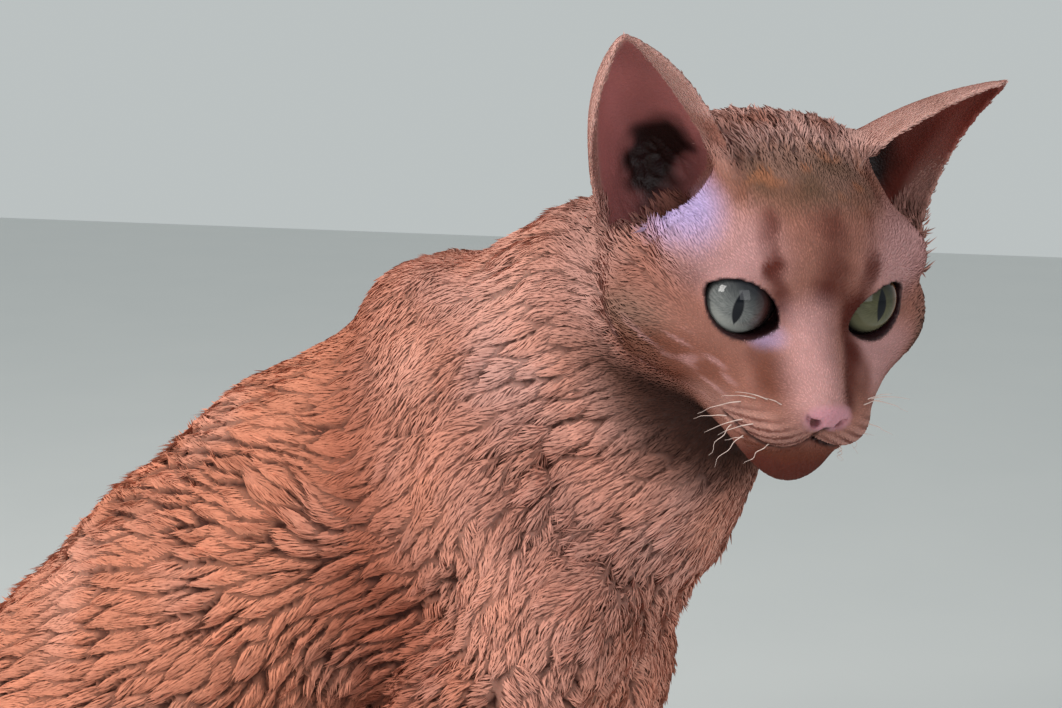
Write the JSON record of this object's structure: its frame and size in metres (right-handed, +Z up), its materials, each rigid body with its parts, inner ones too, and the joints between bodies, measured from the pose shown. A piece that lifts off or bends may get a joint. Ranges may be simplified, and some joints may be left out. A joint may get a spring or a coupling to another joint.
{
  "type": "devon rex cat model",
  "caption": "Still life-size model of a sitting devon rex cat with wavy coat, large ears, head turned and lowered to its right, tail round its side.",
  "frame": {"origin": "middle of the model's outline on the floor, bottom centre of its box", "axes": "+X the way the body faces, +Y to the cat's left, +Z up"},
  "size_m": [0.391, 0.1924, 0.3314],
  "materials": {
    "coat": "short wavy red tabby fur",
    "ear_skin": "thin skin with fine down",
    "eye": "wet, clear front over a grey-green iris"
  },
  "bodies": {
    "root": {"head": "coat", "neck": "coat", "chest": "coat", "rump": "coat", "shoulder_left": "coat", "shoulder_right": "coat", "foreleg_left": "coat", "foreleg_right": "coat", "forepaw_left": "coat", "forepaw_right": "coat", "thigh_left": "coat", "thigh_right": "coat", "hindfoot_left": "coat", "hindfoot_right": "coat", "tail_base": "coat", "tail_middle": "coat", "tail_tip": "coat", "ear_left": "ear_skin", "ear_right": "ear_skin", "eye_left": "eye", "eye_right": "eye"}
  },
  "joints": []
}
